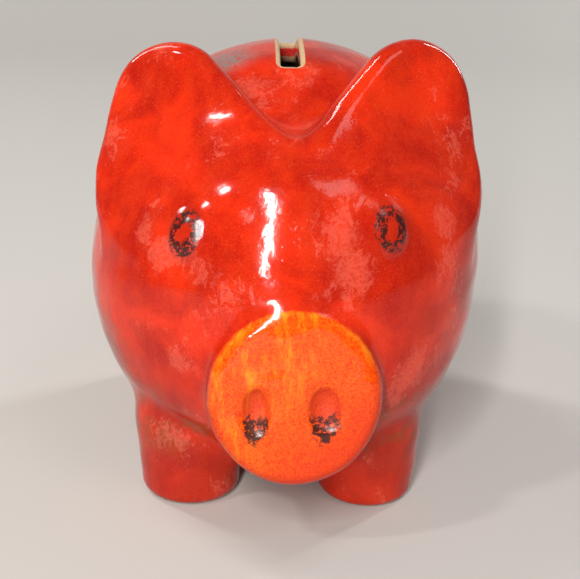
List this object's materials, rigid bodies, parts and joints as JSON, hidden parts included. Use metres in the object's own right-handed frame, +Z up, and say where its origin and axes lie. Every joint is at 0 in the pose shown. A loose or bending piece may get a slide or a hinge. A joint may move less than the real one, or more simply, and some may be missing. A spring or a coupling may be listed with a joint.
{
  "type": "piggy bank",
  "caption": "Hollow glazed ceramic pig standing on stub legs, with a coin slot along its back, upright ears, a disc snout and a rubber stopper that pulls out of the belly.",
  "frame": {"origin": "centre of the bounding box at the table, under the soles", "axes": "+Z up, -Y the way the snout faces, +X the pig's own left"},
  "size_m": [0.1012, 0.128, 0.1124],
  "materials": {
    "red_glaze": "glossy mottled red glaze",
    "orange_glaze": "glossy orange-red glaze with yellow flecks",
    "eye_glaze": "glossy red glaze with worn black paint",
    "stopper_rubber": "matt moulded rubber"
  },
  "bodies": {
    "shell": {"shell_left": "red_glaze", "shell_right": "red_glaze", "snout": "orange_glaze", "ear_left": "red_glaze", "ear_right": "red_glaze", "eye_left": "eye_glaze", "eye_right": "eye_glaze", "front_left_leg": "red_glaze", "front_right_leg": "red_glaze", "rear_left_leg": "red_glaze", "rear_right_leg": "red_glaze", "tail": "red_glaze"},
    "stopper": {"stopper": "stopper_rubber"}
  },
  "joints": [
    {"name": "stopper_slide", "type": "slide", "parent": "shell", "child": "stopper", "axis": [0, 0.1736, -0.9848], "range_m": [0, 0.014]}
  ]
}
